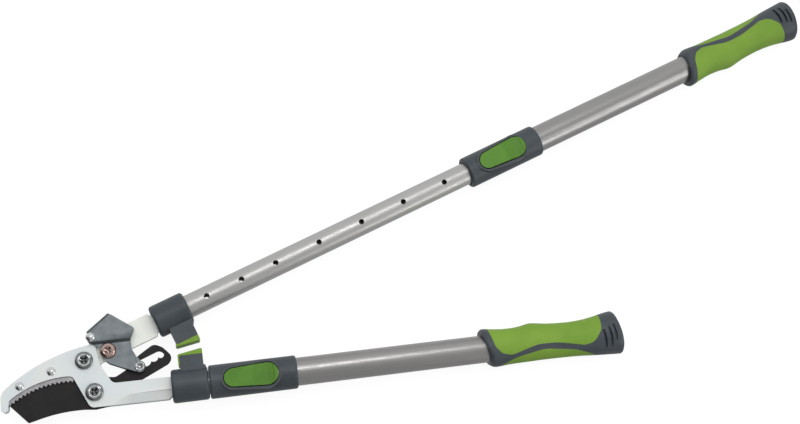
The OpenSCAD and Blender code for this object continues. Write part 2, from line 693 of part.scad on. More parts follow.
// The rim's reach towards the head, and the place of the tube's end before the grip's end.
rim_reach = 10;
plug_back = 8;
grip_sides = 28;
// Places along the grip, of grip_table_len, at which its skin has a ring.
grip_rings = [0, 0.9, 2.5, 4.4, 6.5, 10, 15, 21, 28, 34, 40, 44, 47, 49.5, 53, 58, 65, 75, 87, 97, 105,
  112, 119, 125, 130, 133.5, 136];
function grip_place(x) = x * grip_len / grip_table_len;
function grip_ring(k, inset) = [for (j = [0:grip_sides - 1])
  let (a = -360 * j / grip_sides, r = outer_tube_d / 2 - inset,
       h = r + (a > -180 ? smooth(grip_outer, k) : smooth(grip_inner, k)), f = r + smooth(grip_front, k))
  [grip_place(k) + smooth(grip_lean, k) * h * sin(a), h * sin(a), f * cos(a)]];
function dome_ring(t) = [for (p = grip_ring(grip_table_len, 0))
  [p[0] + dome_h * sin(t), p[1] * cos(t), p[2] * cos(t)]];
module grip_skin(inset = 0) {
  loft(concat([for (k = grip_rings) grip_ring(k, inset)],
    inset > 0 ? [] : [for (t = [15, 32, 50, 66, 80]) dome_ring(t)]));
}
// The green panels' outlines, seen from the front: the wide one and the narrow one.
wide_panel = [[3.6, 34, 0], [4.4, 14, 20], [7.5, -1, 14], [14, -8, 8], [24, -10.6, 12], [51, -3.4, 40],
  [70, -3.7, 60], [99.5, -9.6, 12], [109, -7.6, 12], [117, 3.5, 12], [119.2, 18, 16], [118.5, 34, 0]];
narrow_panel = [[10, -20.6, 0], [28, -13.4, 60], [58, -8.4, 40], [90, -12.6, 60], [111, -19.2, 0],
  [112, -34, 0], [7, -34, 0]];
module panel_shapes() {
  polygon([for (p = rounded(wide_panel)) [grip_place(p[0]), p[1]]]);
  polygon([for (p = rounded(narrow_panel)) [grip_place(p[0]), p[1]]]);
}
module grip(b) {
  translate([grip_start(b), 0, 0]) difference() {
    grip_skin();
    intersection() {
      slab(-40, 40) panel_shapes();
      difference() {
        along_x(1) cylinder(r = 40, h = grip_len);
        grip_skin(panel_t);
      }
    }
    along_x(-rim_reach) cylinder(d = outer_tube_d + 2 * bore_gap, h = rim_reach + grip_len - plug_back);
    grip_grooves();
  }
}
// Three short curved grooves on the front and back of the flared end: place along the grip, place
// beside its axis, half length, height of the floor and slope of the floor.
groove_r = 70;
groove_w = 2.4;
groove_turn = 5;
grooves = [[121.4, -5.3, 9.4, 14.9, 0.3], [127.3, -3.5, 9.8, 16.2, 0.215], [131.8, -0.4, 7.9, 17.6, 0.03]];
module grip_grooves() {
  for (s = [0, 1], g = grooves) mirror([0, 0, s]) translate([grip_place(g[0]), g[1], g[3]])
    rotate([atan(g[4]), 0, 0]) rotate(groove_turn) translate([-groove_r, 0, 0]) linear_extrude(12)
      polygon(let (a = asin(g[2] / groove_r)) concat(
        arc([0, 0], groove_r, -a, a), arc([0, 0], groove_r - groove_w, a, -a)));
}
module grip_panels(b) {
  translate([grip_start(b), 0, 0]) difference() {
    intersection() {
      grip_skin();
      slab(-40, 40) panel_shapes();
    }
    grip_skin(panel_t);
  }
}

// The lower handle is pushed in, the upper one is drawn out by the whole travel.
module lower_slide() {
  at_lower() children();
}
module upper_slide() {
  at_upper_inner() translate([telescope_travel, 0, 0]) children();
}
plastic = "#41484d";
green = "#7aa63f";
button_green = "#4f8a2e";
jaw_front();
jaw_rear();
jaw_liners();
liner_rivets();
jaw_spacer();
pivot_bolts();
pivot_washers();
pivot_nuts();
hub_washers();
color("gray") at_lower() tang_wedges(lower_x, plate_top);  // lower_tang_wedges
color("silver") at_lower() tang_pins();  // lower_tang_pins
color("lightgray") at_lower() inner_tube(lower_x);  // lower_inner_tube
color(plastic) at_lower() bumper(lower_x, lower_reach);  // lower_bumper
color(green) at_lower() buffer(lower_x, lower_reach, 9);  // lower_buffer
color("dimgray") at_lower() bush(lower_x);  // lower_bush
blade();
upper_arm();
pawl_bolt();
pawl_spacers();
pawl_nut();
color("gray") at_upper_inner() tang_wedges(upper_x, arm_z);  // upper_tang_wedges
color("silver") at_upper_inner() tang_pins();  // upper_tang_pins
color("lightgray") at_upper_inner() inner_tube(upper_x);  // upper_inner_tube
color(plastic) at_upper_inner() bumper(upper_x, upper_reach);  // upper_bumper
color(green) at_upper_inner() buffer(upper_x, upper_reach, 0);  // upper_buffer
color("dimgray") at_upper_inner() bush(upper_x);  // upper_bush
yoke();
yoke_rivet();
ratchet_pin();
ratchet_spacers();
yoke_spring();
color("silver") lower_slide() outer_tube(lower_x);  // lower_outer_tube
color(plastic) lower_slide() lock_collar(lower_x);  // lower_lock_collar
color(plastic) lower_slide() grip(lower_x);  // lower_grip
color(green) lower_slide() grip_panels(lower_x);  // lower_grip_panels
color("dimgray") lower_slide() tube_plug(lower_x);  // lower_tube_plug
color("silver") lower_slide() rocker_pin(lower_x);  // lower_rocker_pin
color(button_green) lower_slide() button(lower_x);  // lower_button
color("silver") lower_slide() lock_pin(lower_x);  // lower_lock_pin
color("silver") upper_slide() outer_tube(upper_x);  // upper_outer_tube
color(plastic) upper_slide() lock_collar(upper_x);  // upper_lock_collar
color(plastic) upper_slide() grip(upper_x);  // upper_grip
color(green) upper_slide() grip_panels(upper_x);  // upper_grip_panels
color("dimgray") upper_slide() tube_plug(upper_x);  // upper_tube_plug
color("silver") upper_slide() rocker_pin(upper_x);  // upper_rocker_pin
color(button_green) upper_slide() button(upper_x);  // upper_button
color("silver") upper_slide() lock_pin(upper_x);  // upper_lock_pin
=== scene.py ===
import json
import math

import bmesh
import bpy
from mathutils import Matrix, Vector


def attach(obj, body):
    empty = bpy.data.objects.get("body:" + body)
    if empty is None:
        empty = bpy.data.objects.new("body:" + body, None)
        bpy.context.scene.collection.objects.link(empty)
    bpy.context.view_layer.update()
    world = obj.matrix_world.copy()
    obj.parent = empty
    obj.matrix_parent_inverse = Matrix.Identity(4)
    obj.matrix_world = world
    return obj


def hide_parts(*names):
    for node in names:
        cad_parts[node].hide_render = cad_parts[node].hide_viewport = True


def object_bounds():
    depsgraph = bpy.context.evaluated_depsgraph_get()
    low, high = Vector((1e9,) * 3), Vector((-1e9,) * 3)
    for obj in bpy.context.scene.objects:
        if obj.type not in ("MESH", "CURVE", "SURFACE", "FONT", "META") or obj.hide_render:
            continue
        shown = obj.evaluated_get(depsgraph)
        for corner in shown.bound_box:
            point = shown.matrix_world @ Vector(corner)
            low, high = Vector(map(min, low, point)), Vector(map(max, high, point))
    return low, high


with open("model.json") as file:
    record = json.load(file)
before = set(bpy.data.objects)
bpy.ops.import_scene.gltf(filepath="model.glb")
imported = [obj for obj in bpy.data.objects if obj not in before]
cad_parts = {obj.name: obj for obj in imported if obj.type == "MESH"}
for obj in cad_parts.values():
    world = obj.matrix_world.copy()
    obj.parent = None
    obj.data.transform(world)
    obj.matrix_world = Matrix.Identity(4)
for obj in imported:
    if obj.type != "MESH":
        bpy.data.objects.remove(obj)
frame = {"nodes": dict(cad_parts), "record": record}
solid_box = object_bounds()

scene = bpy.context.scene
nodes = frame["nodes"]
record = frame["record"]

SLOTS = {part["node"]: part["material_slot"] for part in record["subparts"]}
BODIES = {name: body for body, names in record["behaviour"]["bodies"].items() for name in names}
JOINTS = {joint["name"]: joint for joint in record["behaviour"]["joints"]}


def hinge_place(name):
    """Where a hinge's axis stands in the part's plane, in millimetres."""
    x, y, _ = JOINTS[name]["pos_m"]
    return x * 1000, y * 1000


def handle_turn(handle):
    """How far a handle's axis, along which its telescope slides, is turned from X."""
    x, y, _ = JOINTS[handle + "_telescope"]["axis"]
    return math.atan2(y, x)


# Camera and studio

def place_camera():
    """The photograph's view: the camera's place, the picture's axes and the lens."""
    eye = Vector((0.096515, -0.139356, 1.227721))
    right = Vector((0.981507, -0.128063, 0.142283))
    up = Vector((0.091108, 0.966201, 0.241152))
    back = Vector((-0.168357, -0.223729, 0.960001))
    camera = bpy.data.objects.new("camera", bpy.data.cameras.new("camera"))
    camera.data.sensor_width = 36
    camera.data.lens = 57.015
    camera.data.clip_end = 20
    camera.matrix_world = Matrix((
        (right.x, up.x, back.x, eye.x),
        (right.y, up.y, back.y, eye.y),
        (right.z, up.z, back.z, eye.z),
        (0, 0, 0, 1)))
    scene.collection.objects.link(camera)
    scene.camera = camera


def soft_light(name, place, aim, along, length, width, power, mirrored=True):
    """A softbox at place that faces aim, its length laid along a direction. One that isn't mirrored
    lights the pieces but doesn't show in their shine."""
    back = (Vector(place) - Vector(aim)).normalized()
    side = Vector(along)
    side = (side - side.dot(back) * back).normalized()
    light = bpy.data.lights.new(name, "AREA")
    light.shape = "RECTANGLE"
    light.size = length
    light.size_y = width
    light.energy = power
    lamp = bpy.data.objects.new(name, light)
    lamp.visible_glossy = mirrored
    turn = Matrix((side, back.cross(side), back)).transposed().to_4x4()
    lamp.matrix_world = Matrix.Translation(place) @ turn
    scene.collection.objects.link(lamp)


def sky_part(tree, place, direction, near, far):
    """How bright the sky is by its angle from a direction: (cosine, strength) near and far."""
    dot = tree.nodes.new("ShaderNodeVectorMath")
    dot.operation = "DOT_PRODUCT"
    dot.inputs[1].default_value = Vector(direction).normalized()
    rise = tree.nodes.new("ShaderNodeMapRange")
    rise.interpolation_type = "SMOOTHSTEP"
    rise.inputs["From Min"].default_value, rise.inputs["To Min"].default_value = far
    rise.inputs["From Max"].default_value, rise.inputs["To Max"].default_value = near
    tree.links.new(place.outputs["Generated"], dot.inputs[0])
    tree.links.new(dot.outputs["Value"], rise.inputs["Value"])
    return rise.outputs["Result"]


def build_world():
    """Grey surroundings: brighter past the upper handle, dark low down past the jaw."""
    world = bpy.data.worlds.new("studio")
    world.use_nodes = True
    tree = world.node_tree
    place = tree.nodes.new("ShaderNodeTexCoord")
    slope = sky_part(tree, place, (0, 1, 0), (0.65, 0.85), (-0.75, 0.52))
    flag = sky_part(tree, place, (-0.85, -0.45, 0.28), (0.92, 0.12), (0.6, 1))
    product = tree.nodes.new("ShaderNodeMath")
    product.operation = "MULTIPLY"
    tree.links.new(slope, product.inputs[0])
    tree.links.new(flag, product.inputs[1])
    tree.links.new(product.outputs[0], tree.nodes["Background"].inputs["Strength"])
    tree.nodes["Background"].inputs["Color"].default_value = (0.96, 0.98, 1, 1)
    scene.world = world


def build_studio():
    """Each light by its place, what it faces, its direction, length and width in metres, and watts."""
    scene.view_settings.view_transform = "Standard"
    build_world()
    middle = (0.31, 0.15, 0)
    soft_light("ceiling", (0.4, 0.9, 1.75), (0.4, 0.5, 0), (1, 0, 0), 3.2, 2.4, 17.2, mirrored=False)
    soft_light("key_left", (0.264, 0.398, 1.12), middle, (0.93, 0.36, 0), 0.4, 0.13, 2.0)
    soft_light("key_right", (0.636, 0.542, 1.12), middle, (0.93, 0.36, 0), 0.4, 0.13, 0.3)
    soft_light("low", (1.12, -0.46, 0.39), (0.5, 0.22, 0), (0.75, 0.32, 0.25), 0.85, 0.22, 2.1)
    soft_light("side", (1.18, -0.13, 0.705), (0.6, 0.26, 0), (0.89, 0.45, -0.13), 0.4, 0.09, 0.55)
    lay_floor()


FLOOR_SIZE = 20
FLOOR_GAP = 0.0002


def lay_floor():
    """White paper, lit so evenly that shadows on it stay faint, and not mirrored by the metal."""
    bm = bmesh.new()
    bmesh.ops.create_grid(bm, x_segments=1, y_segments=1, size=FLOOR_SIZE)
    bmesh.ops.translate(bm, vec=(0.3, 0.15, solid_box[0][2] - FLOOR_GAP), verts=bm.verts)
    mesh = bpy.data.meshes.new("floor")
    bm.to_mesh(mesh)
    bm.free()
    floor = bpy.data.objects.new("floor", mesh)
    floor.visible_glossy = False
    floor.visible_diffuse = False
    scene.collection.objects.link(floor)
    paper = bpy.data.materials.new("paper")
    paper.use_nodes = True
    shader = paper.node_tree.nodes["Principled BSDF"]
    shader.inputs["Base Color"].default_value = (0.16, 0.16, 0.16, 1)
    shader.inputs["Roughness"].default_value = 1
    shader.inputs["Specular IOR Level"].default_value = 0
    shader.inputs["Emission Color"].default_value = (1, 1, 1, 1)
    shader.inputs["Emission Strength"].default_value = 0.9
    mesh.materials.append(paper)


# Effects that several finishes share

FLOAT, VECTOR, COLOUR = "NodeSocketFloat", "NodeSocketVector", "NodeSocketColor"
# Nearly all values of a noise lie between these.
NOISE_LOW = 0.32
NOISE_HIGH = 0.68


def socket_group(name, inputs, outputs):
    """A node group with inputs of (name, kind, value) and outputs of (name, kind), and both its ends."""
    group = bpy.data.node_groups.new(name, "ShaderNodeTree")
    for label, kind, value in inputs:
        socket = group.interface.new_socket(label, in_out="INPUT", socket_type=kind)
        if value is not None:
            socket.default_value = value
    for label, kind in outputs:
        group.interface.new_socket(label, in_out="OUTPUT", socket_type=kind)
    return group, group.nodes.new("NodeGroupInput"), group.nodes.new("NodeGroupOutput")


def add_noise(group, vector, scale, detail):
    """A noise over the sockets vector and scale."""
    noise = group.nodes.new("ShaderNodeTexNoise")
    noise.inputs["Detail"].default_value = detail
    group.links.new(vector, noise.inputs["Vector"])
    group.links.new(scale, noise.inputs["Scale"])
    return noise


def mottle_group():
    """Soft cloudy variation between Low and High."""
    group, source, sink = socket_group(
        "mottle",
        [("Vector", VECTOR, None), ("Scale", FLOAT, 60), ("Low", FLOAT, 0), ("High", FLOAT, 1)],
        [("Value", FLOAT)])
    noise = add_noise(group, source.outputs["Vector"], source.outputs["Scale"], 5)
    noise.inputs["Roughness"].default_value = 0.6
    spread = group.nodes.new("ShaderNodeMapRange")
    spread.inputs["From Min"].default_value = NOISE_LOW
    spread.inputs["From Max"].default_value = NOISE_HIGH
    group.links.new(noise.outputs["Fac"], spread.inputs["Value"])
    group.links.new(source.outputs["Low"], spread.inputs["To Min"])
    group.links.new(source.outputs["High"], spread.inputs["To Max"])
    group.links.new(spread.outputs["Result"], sink.inputs["Value"])
    return group


def relief_group():
    """Height of a moulded or painted skin: fine grain, and a slow wave that has a share of it."""
    group, source, sink = socket_group(
        "relief",
        [("Vector", VECTOR, None), ("Grain", FLOAT, 2500), ("Wave", FLOAT, 200), ("Share", FLOAT, 0.3)],
        [("Height", FLOAT)])
    grain = add_noise(group, source.outputs["Vector"], source.outputs["Grain"], 2)
    wave = add_noise(group, source.outputs["Vector"], source.outputs["Wave"], 1)
    mix = group.nodes.new("ShaderNodeMix")
    group.links.new(source.outputs["Share"], mix.inputs["Factor"])
    group.links.new(grain.outputs["Fac"], mix.inputs["A"])
    group.links.new(wave.outputs["Fac"], mix.inputs["B"])
    group.links.new(mix.outputs["Result"], sink.inputs["Height"])
    return group


def drawn_lines_group():
    """Fine lines along X, Length times as long as they are wide, as drawing leaves them on a tube."""
    group, source, sink = socket_group(
        "drawn_lines",
        [("Vector", VECTOR, None), ("Scale", FLOAT, 900), ("Length", FLOAT, 40)],
        [("Lines", FLOAT)])
    stretch = group.nodes.new("ShaderNodeVectorMath")
    stretch.operation = "DIVIDE"
    apart = group.nodes.new("ShaderNodeCombineXYZ")
    apart.inputs["Y"].default_value = 1
    apart.inputs["Z"].default_value = 1
    group.links.new(source.outputs["Length"], apart.inputs["X"])
    group.links.new(source.outputs["Vector"], stretch.inputs[0])
    group.links.new(apart.outputs["Vector"], stretch.inputs[1])
    noise = add_noise(group, stretch.outputs["Vector"], source.outputs["Scale"], 3)
    group.links.new(noise.outputs["Fac"], sink.inputs["Lines"])
    return group


def recess_group():
    """Paints shade: darkens a colour where a piece's own shade value marks painted shade."""
    group, source, sink = socket_group(
        "recess",
        [("Color", COLOUR, None), ("Dark", COLOUR, None)],
        [("Color", COLOUR)])
    shade = group.nodes.new("ShaderNodeAttribute")
    shade.attribute_name = "shade"
    mix = group.nodes.new("ShaderNodeMix")
    mix.data_type = "RGBA"
    group.links.new(shade.outputs["Fac"], mix.inputs["Factor"])
    group.links.new(source.outputs["Color"], mix.inputs["A"])
    group.links.new(source.outputs["Dark"], mix.inputs["B"])
    group.links.new(mix.outputs["Result"], sink.inputs["Color"])
    return group


EFFECTS = {
    "mottle": mottle_group(), "relief": relief_group(), "drawn_lines": drawn_lines_group(),
    "recess": recess_group(),
}


class Finish:
    """One material, with short ways to place the shared effects in it."""

    def __init__(self, name, metallic=0, turn=0):
        self.name = name
        self.material = bpy.data.materials.new(name)
        self.material.use_nodes = True
        self.tree = self.material.node_tree
        self.shader = self.tree.nodes["Principled BSDF"]
        self.shader.inputs["Metallic"].default_value = metallic
        place = self.tree.nodes.new("ShaderNodeTexCoord")
        mapping = self.tree.nodes.new("ShaderNodeMapping")
        mapping.inputs["Rotation"].default_value = (0, 0, -turn)
        self.tree.links.new(place.outputs["Object"], mapping.inputs["Vector"])
        self.vector = mapping.outputs["Vector"]

    def effect(self, name, **values):
        """A shared effect over the piece, with this finish's own values."""
        node = self.tree.nodes.new("ShaderNodeGroup")
        node.node_tree = EFFECTS[name]
        self.tree.links.new(self.vector, node.inputs["Vector"])
        for label, value in values.items():
            node.inputs[label].default_value = value
        return node.outputs[0]

    def blend(self, factor, dark, light):
        mix = self.tree.nodes.new("ShaderNodeMix")
        mix.data_type = "RGBA"
        self.tree.links.new(factor, mix.inputs["Factor"])
        mix.inputs["A"].default_value = (*dark, 1)
        mix.inputs["B"].default_value = (*light, 1)
        return mix.outputs["Result"]

    def shaded(self, colour, dark, times):
        """The colour, or painted shade so many times darker than dark where a piece marks shade."""
        node = self.tree.nodes.new("ShaderNodeGroup")
        node.node_tree = EFFECTS["recess"]
        self.tree.links.new(colour, node.inputs["Color"])
        node.inputs["Dark"].default_value = (*[value / times for value in dark], 1)
        return node.outputs[0]

    def feed(self, label, value):
        """Gives a socket of the shader a constant, or links it to an effect."""
        if isinstance(value, bpy.types.NodeSocket):
            self.tree.links.new(value, self.shader.inputs[label])
        else:
            self.shader.inputs[label].default_value = value

    def bump(self, height, strength, distance=0.0002):
        node = self.tree.nodes.new("ShaderNodeBump")
        node.inputs["Strength"].default_value = strength
        node.inputs["Distance"].default_value = distance
        self.tree.links.new(height, node.inputs["Height"])
        self.tree.links.new(node.outputs["Normal"], self.shader.inputs["Normal"])


# Kinds of finish, each from its darkest to its lightest colour, with its roughness, and painted shade where a
# piece marks it

def painted(name, dark, light, rough, gloss=0.5, scale=45):
    """Paint or coating on steel, with faint clouds and an orange-peel skin."""
    finish = Finish(name)
    colour = finish.blend(finish.effect("mottle", Scale=scale), dark, light)
    finish.feed("Base Color", finish.shaded(colour, dark, 5))
    finish.feed("Specular IOR Level", gloss)
    finish.feed("Roughness", finish.effect("mottle", Scale=160, Low=rough - 0.05, High=rough + 0.06))
    finish.bump(finish.effect("relief", Grain=1400, Wave=320, Share=0.5), 0.12)
    return finish


def moulded(name, dark, light, rough, grain=2600, depth=0.25, gloss=0.5):
    """Moulded plastic or rubber with a fine grain."""
    finish = Finish(name)
    finish.feed("Specular IOR Level", gloss)
    colour = finish.blend(finish.effect("mottle", Scale=30), dark, light)
    finish.feed("Base Color", finish.shaded(colour, dark, 12))
    finish.feed("Roughness", finish.effect("mottle", Scale=220, Low=rough - 0.04, High=rough + 0.05))
    finish.bump(finish.effect("relief", Grain=grain, Wave=260, Share=0.25), depth)
    return finish


def plated(name, dark, light, rough, scale=240):
    """Bare or plated steel with a slight spangle."""
    finish = Finish(name, metallic=1)
    colour = finish.blend(finish.effect("mottle", Scale=scale), dark, light)
    finish.feed("Base Color", finish.shaded(colour, dark, 25))
    finish.feed("Roughness", finish.effect("mottle", Scale=scale * 2, Low=rough - 0.05, High=rough + 0.07))
    finish.bump(finish.effect("relief", Grain=1800, Wave=420, Share=0.5), 0.08)
    return finish


def drawn_tube(name, dark, light, rough, turn):
    """Drawn aluminium, its fine lines along the tube."""
    finish = Finish(name, metallic=1, turn=turn)
    lines = finish.effect("drawn_lines", Scale=1100, Length=60)
    finish.feed("Base Color", finish.blend(lines, dark, light))
    finish.feed("Roughness", finish.effect("mottle", Scale=90, Low=rough, High=rough + 0.08))
    finish.bump(lines, 0.035, 0.0001)
    return finish


def build_finishes():
    finishes = [
        painted("jaw_paint", (0.615, 0.67, 0.69), (0.695, 0.705, 0.675), 0.36, scale=22),
        painted("blade_coating", (0.0085, 0.0070, 0.0066), (0.0135, 0.0115, 0.011), 0.5, gloss=0.26),
        painted("arm_steel", (0.73, 0.75, 0.69), (0.79, 0.80, 0.74), 0.34),
        plated("yoke_steel", (0.155, 0.17, 0.182), (0.235, 0.257, 0.264), 0.42, scale=170),
        plated("fastener_steel", (0.62, 0.625, 0.62), (0.72, 0.725, 0.72), 0.11, scale=400),
        plated("washer_steel", (0.20, 0.21, 0.21), (0.27, 0.28, 0.28), 0.10, scale=400),
        plated("liner_steel", (0.33, 0.32, 0.328), (0.47, 0.455, 0.46), 0.36),
        plated("dark_steel", (0.055, 0.055, 0.06), (0.10, 0.10, 0.105), 0.38),
        plated("copper_steel", (0.43, 0.305, 0.265), (0.56, 0.41, 0.365), 0.10, scale=400),
        moulded("dark_plastic", (0.030, 0.038, 0.045), (0.043, 0.053, 0.062), 0.46),
        moulded("soft_green", (0.140, 0.27, 0.014), (0.175, 0.315, 0.022), 0.6, grain=3400, depth=0.3),
        moulded("button_green", (0.062, 0.185, 0.007), (0.082, 0.225, 0.012), 0.48, depth=0.2, gloss=0.36),
        moulded("filler_plastic", (0.05, 0.05, 0.055), (0.08, 0.08, 0.085), 0.55),
    ]
    for handle, turn in (("lower", 0), ("upper", handle_turn("upper"))):
        finishes += [
            drawn_tube(handle + "_outer", (0.31, 0.30, 0.29), (0.40, 0.385, 0.375), 0.33, turn),
            drawn_tube(handle + "_inner", (0.46, 0.45, 0.435), (0.57, 0.555, 0.54), 0.39, turn),
        ]
    return {finish.name: finish.material for finish in finishes}


def finish_of(name):
    """The name of a node's finish. Each tube has its own, and the rest mostly their slot's."""
    if SLOTS[name] == "tube_aluminium":
        return name.removesuffix("_tube")
    if name.endswith("rocker_pin"):
        return "dark_steel"
    return "liner_steel" if name == "jaw_liners" else SLOTS[name]


def dress_solids(finishes):
    for name in SLOTS:
        materials = nodes[name].data.materials
        materials.clear()
        materials.append(finishes[finish_of(name)])


# Pieces that are finer than the solids

MERGE_DISTANCE = 2e-6
# Faces that meet at less than this many degrees are one face.
FLAT_ANGLE = 0.6


def merged(name):
    """A node's solid with its loose triangles joined to whole faces."""
    bm = bmesh.new()
    bm.from_mesh(nodes[name].data)
    bmesh.ops.transform(bm, matrix=nodes[name].matrix_world, verts=bm.verts)
    bmesh.ops.remove_doubles(bm, verts=bm.verts, dist=MERGE_DISTANCE)
    bmesh.ops.dissolve_limit(bm, angle_limit=math.radians(FLAT_ANGLE), verts=bm.verts, edges=bm.edges)
    bmesh.ops.recalc_face_normals(bm, faces=bm.faces)
    return bm


def set_piece(bm, name, node, finish, keep_sharp=50):
    """Turns bm into a piece that stands for a node. Faces that meet at less than keep_sharp degrees
    are shaded as one smooth skin."""
    for face in bm.faces:
        face.smooth = True
    for edge in bm.edges:
        edge.smooth = edge.calc_face_angle(0) < math.radians(keep_sharp)
    mesh = bpy.data.meshes.new(name)
    bm.to_mesh(mesh)
    bm.free()
    piece = bpy.data.objects.new(name, mesh)
    scene.collection.objects.link(piece)
    mesh.materials.append(finish)
    even = piece.modifiers.new("even_normals", "WEIGHTED_NORMAL")
    even.keep_sharp = True
    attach(piece, BODIES[node])
    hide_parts(node)


def span(name, into, axis):
    """From where to where a node reaches along one axis of a frame, in metres."""
    place = into @ nodes[name].matrix_world
    reach = [(place @ vertex.co)[axis] for vertex in nodes[name].data.vertices]
    return min(reach), max(reach)


def shade_layer(bm):
    """The painted shade value that the painted shade effect reads: 0 on a plain skin, 1 where it is darkest.
    """
    return bm.verts.layers.float.get("shade") or bm.verts.layers.float.new("shade")


# Screws and washers, in millimetres. A profile's points are (radius, height, shade), where shade is painted
# shade.

BASIN_RADIUS = 3.9
BASIN_DEPTH = 0.1
# The cross in a basin from its mouth down: how far its arms reach, their width, and the depth.
CROSS_STEPS = [(3.6, 2.1, 0.05), (3.35, 1.8, 0.2), (2.4, 1.2, 1.2)]
CROSS_DEPTH = 1.3
# Crowns of the screws from under the head to the basin, with painted shade on the skirt and near the basin.
CAP_CROWN = [
    (6.05, 0, 0.9), (6.05, 1, 0.7), (5.95, 1.6, 0), (5.65, 2.1, 0), (5.25, 2.4, 0), (4.95, 2.35, 0),
    (4.6, 2.05, 0), (4.25, 1.6, 0.35),
]
DOME_CROWN = [
    (7.2, 0, 0.7), (7.6, 0.1, 0.6), (7.65, 0.5, 0.55), (7.45, 1.1, 0.5), (7, 1.75, 0.35), (6.4, 2.35, 0.15),
    (5.7, 2.85, 0), (5, 3.2, 0), (4.5, 3.4, 0), (4.2, 3.42, 0), (4, 3.3, 0.1),
]
PIN_CROWN = [
    (5.6, 0, 0.4), (6, 0.4, 0), (6, 1, 0), (5.6, 1.8, 0), (5, 2.3, 0), (4.5, 2.25, 0), (4.1, 1.8, 0.3),
]
# The ratchet pin's plain rear head, as (radius, height), and a pivot washer from its bore outwards.
PIN_BACK = [(1.4, 0), (2.7, 0.25), (3.7, 0.8), (4.3, 1.5), (4.5, 2), (4.5, 2.4), (2.25, 2.4)]
WASHER_RING = [
    (4.1, 0), (8.1, 0), (8.3, 0.2), (8.35, 0.6), (8.15, 1.1), (7.7, 1.55), (7.1, 1.9), (6.5, 2.1), (6.2, 2.1),
    (6.15, 1.4), (4.1, 1.4),
]
# A pivot bolt's head starts this far above the plate, in the middle of its washer.
WASHER_SEAT = 1.4
# The heads on the yoke start this far below its top, on its lower level.
YOKE_STEP = 1.5


def turned(bm, centre, profile, sides=64):
    """Spins a profile about Z. One that doesn't start on the axis is closed onto its start."""
    shade = shade_layer(bm)
    middle = Vector((*centre, 0)) / 1000
    older = set(bm.verts)
    points = []
    for radius, height, dark in profile:
        points.append(bm.verts.new(middle + Vector((radius, 0, height)) / 1000))
        points[-1][shade] = dark
    pairs = list(zip(points, points[1:]))
    if profile[0][0] > 0:
        pairs.append((points[-1], points[0]))
    chain = [bm.edges.new(pair) for pair in pairs]
    bmesh.ops.spin(bm, geom=points + chain, cent=middle, axis=(0, 0, 1), angle=2 * math.pi, steps=sides,
                   use_merge=True)
    spun = [vert for vert in bm.verts if vert not in older]
    bmesh.ops.remove_doubles(bm, verts=spun, dist=MERGE_DISTANCE)


def sink_cross(bm, centre, basin, scale, dark):
    """Closes an open basin with a floor and sinks a cross into it, its arms at 45 degrees to X."""
    shade = shade_layer(bm)
    middle = Vector((*centre, basin)) / 1000
    rim = [edge for edge in bm.edges if edge.is_boundary]
    floor = bmesh.ops.holes_fill(bm, edges=rim, sides=0)["faces"][0]
    # The cross's steps and its tip get painted shade.
    wall = 0.1 + 0.87 * dark
    for (reach, width, depth), tone in zip(CROSS_STEPS, (0.8 * dark, wall, wall)):
        floor = bmesh.ops.extrude_discrete_faces(bm, faces=[floor])["faces"][0]
        for vert in floor.verts:
            out = vert.co - middle
            angle = math.atan2(out.y, out.x)
            off = abs(angle % (math.pi / 2) - math.pi / 4)
            radius = scale * min(reach, width / 2 / max(math.sin(off), 1e-3))
            vert.co = middle + Vector((radius * math.cos(angle), radius * math.sin(angle), -depth)) / 1000
            vert[shade] = tone
    tip = bmesh.ops.poke(bm, faces=[floor])["verts"][0]
    tip.co = middle - Vector((0, 0, CROSS_DEPTH)) / 1000
    tip[shade] = 0.8 * dark


def screw(bm, centre, foot, shank_radius, base, scale, crown, dark, back=()):
    """A screw with a raised rim round a basin, and a deep cross in the basin's floor. Its shank may
    end in a plain domed head, whose rings climb from its foot."""
    # dark sets the strength of the painted shade at the basin's edge and in the cross.
    basin = base + (crown[-1][1] - BASIN_DEPTH) * scale
    low = [(radius, foot + height, 0) for radius, height in back] or [(shank_radius, foot, 0)]
    head = [(radius * scale, base + height * scale, shade) for radius, height, shade in crown]
    turned(bm, centre, [(0, foot, 0), *low, (shank_radius, base, 0), *head,
                        (BASIN_RADIUS * scale, basin, 0.75 * dark)])
    sink_cross(bm, centre, basin, scale, dark)


def foot_of(name):
    return span(name, Matrix.Identity(4), 2)[0] * 1000


def top_of(name):
    return span(name, Matrix.Identity(4), 2)[1] * 1000


PIVOTS = [hinge_place("blade_hinge"), hinge_place("handle_hinge")]
RATCHET_PIN = (43.4, 19.2)


def set_turned(bm, name, node, finish):
    """Points the faces of turned shapes outwards and makes them a piece."""
    bmesh.ops.recalc_face_normals(bm, faces=bm.faces)
    set_piece(bm, name, node, finish, keep_sharp=60)


def make_screws(finishes):
    plate = top_of("jaw_front")
    yoke_seat = top_of("yoke") - YOKE_STEP
    # Each screw's last number is the strength of the painted shade in its basin and cross.
    bm = bmesh.new()
    for centre in PIVOTS:
        screw(bm, centre, foot_of("pivot_bolts"), 4, plate + WASHER_SEAT, 1, CAP_CROWN, 1)
    set_turned(bm, "pivot_screws", "pivot_bolts", finishes["fastener_steel"])
    bm = bmesh.new()
    for centre in PIVOTS:
        for side in (1, -1):
            turned(bm, centre, [(radius, side * (plate + height), 0) for radius, height in WASHER_RING])
    set_turned(bm, "pivot_washer_rings", "pivot_washers", finishes["washer_steel"])
    bm = bmesh.new()
    screw(bm, hinge_place("yoke_hinge"), foot_of("pawl_bolt"), 3, yoke_seat, 1, DOME_CROWN, 0.42)
    set_turned(bm, "pawl_screw", "pawl_bolt", finishes["copper_steel"])
    bm = bmesh.new()
    screw(bm, RATCHET_PIN, foot_of("ratchet_pin"), 2.25, yoke_seat, 0.76, PIN_CROWN, 0.45, PIN_BACK)
    set_turned(bm, "ratchet_screw", "ratchet_pin", finishes["fastener_steel"])
